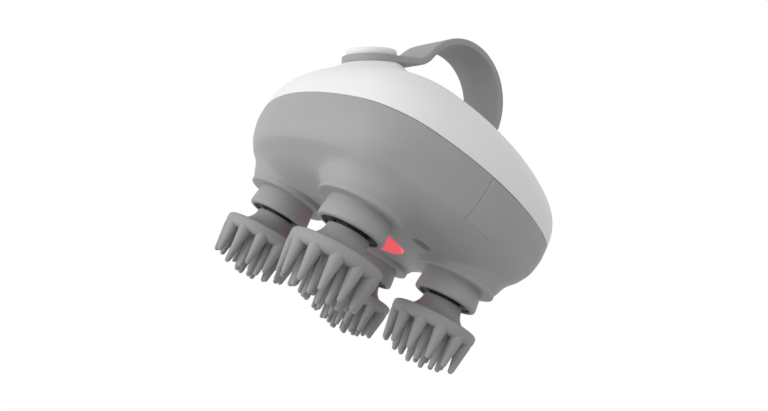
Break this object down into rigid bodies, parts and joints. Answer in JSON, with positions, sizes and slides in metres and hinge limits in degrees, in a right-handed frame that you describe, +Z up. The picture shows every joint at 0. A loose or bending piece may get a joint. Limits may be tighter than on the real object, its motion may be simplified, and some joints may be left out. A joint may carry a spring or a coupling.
{
  "type": "scalp massager",
  "caption": "Handheld electric scalp massager: domed body with an arched finger strap, side button, red underside lamp and geared silicone heads with tines.",
  "frame": {"origin": "on the body's axis, at the height of the tine tips it stands on", "axes": "+Z up along the body's axis, +X along the strap from the power button to the strap's far end, charging port on the -Y side"},
  "size_m": [0.0928, 0.0928, 0.101],
  "materials": {
    "white_cover": "satin moulded",
    "grey_housing": "fine matte texture",
    "strap_silicone": "soft matte silicone",
    "head_silicone": "soft matte silicone",
    "port_silicone": "matte silicone",
    "black_rubber": "matte",
    "red_lens": "translucent, lit",
    "white_gear": "moulded acetal",
    "grey_nylon": "moulded nylon",
    "steel": "bright",
    "motor_can": "plated",
    "brass": "turned",
    "board_green": "solder mask",
    "switch_black": "moulded",
    "led_body": "clear",
    "battery_wrap": "shrink sleeve"
  },
  "bodies": {
    "body": {"upper_cover": "white_cover", "lower_housing": "grey_housing", "parting_gasket": "black_rubber", "hand_strap": "strap_silicone", "strap_retainer": "grey_nylon", "tact_switch": "switch_black", "switch_board": "board_green", "switch_board_screws": "steel", "main_board": "board_green", "main_board_screws": "steel", "battery_cell": "battery_wrap", "drive_motor": "motor_can", "gear_chassis": "grey_nylon", "chassis_screws": "steel", "centre_axle": "steel", "light_lens": "red_lens", "led_board": "board_green", "led_chips": "led_body", "charging_socket": "steel", "charging_board": "board_green", "lower_bushes": "brass", "upper_bushes": "brass", "socket_collar_1": "grey_housing", "socket_collar_2": "grey_housing", "socket_collar_3": "grey_housing", "socket_collar_4": "grey_housing", "lip_seal_1": "black_rubber", "lip_seal_2": "black_rubber", "lip_seal_3": "black_rubber", "lip_seal_4": "black_rubber"},
    "button": {"power_button": "white_cover", "stem_clip": "steel"},
    "port_cover": {"charging_port_cover": "port_silicone"},
    "centre_gear": {"sun_gear": "white_gear", "reduction_wheel": "white_gear"},
    "motor_rotor": {"motor_shaft": "steel", "motor_pinion": "brass"},
    "head_1": {"massage_head_1": "head_silicone", "head_hub_1": "grey_nylon", "head_spindle_1": "steel", "head_gear_1": "white_gear"},
    "head_2": {"massage_head_2": "head_silicone", "head_hub_2": "grey_nylon", "head_spindle_2": "steel", "head_gear_2": "white_gear"},
    "head_3": {"massage_head_3": "head_silicone", "head_hub_3": "grey_nylon", "head_spindle_3": "steel", "head_gear_3": "white_gear"},
    "head_4": {"massage_head_4": "head_silicone", "head_hub_4": "grey_nylon", "head_spindle_4": "steel", "head_gear_4": "white_gear"}
  },
  "joints": [
    {"name": "centre_gear_spin", "type": "hinge", "parent": "body", "child": "centre_gear", "pos_m": [0, 0, 0.04], "axis": [0, 0, 1], "continuous": true},
    {"name": "motor_spin", "type": "hinge", "parent": "body", "child": "motor_rotor", "pos_m": [0, 0.01875, 0.043], "axis": [0, 0, 1], "continuous": true},
    {"name": "button_press", "type": "slide", "parent": "body", "child": "button", "axis": [0.5693, 0, -0.8221], "range_m": [0, 0.0007], "stiffness_N_per_m": 1500},
    {"name": "port_cover_hinge", "type": "hinge", "parent": "body", "child": "port_cover", "pos_m": [0, -0.04316, 0.03625], "axis": [1, 0, 0], "range_deg": [0, 80], "stiffness_Nm_per_rad": 0.002},
    {"name": "head_1_spin", "type": "hinge", "parent": "body", "child": "head_1", "pos_m": [0.0207, 0.0207, 0.02], "axis": [0, 0, 1], "continuous": true},
    {"name": "head_2_spin", "type": "hinge", "parent": "body", "child": "head_2", "pos_m": [-0.0207, 0.0207, 0.02], "axis": [0, 0, 1], "continuous": true},
    {"name": "head_3_spin", "type": "hinge", "parent": "body", "child": "head_3", "pos_m": [-0.0207, -0.0207, 0.02], "axis": [0, 0, 1], "continuous": true},
    {"name": "head_4_spin", "type": "hinge", "parent": "body", "child": "head_4", "pos_m": [0.0207, -0.0207, 0.02], "axis": [0, 0, 1], "continuous": true}
  ],
  "couplings": [
    {"joint": "motor_spin", "follows": "centre_gear_spin", "ratio": -3.1667},
    {"joint": "head_1_spin", "follows": "centre_gear_spin", "ratio": -1.7143},
    {"joint": "head_2_spin", "follows": "centre_gear_spin", "ratio": -1.7143},
    {"joint": "head_3_spin", "follows": "centre_gear_spin", "ratio": -1.7143},
    {"joint": "head_4_spin", "follows": "centre_gear_spin", "ratio": -1.7143}
  ]
}
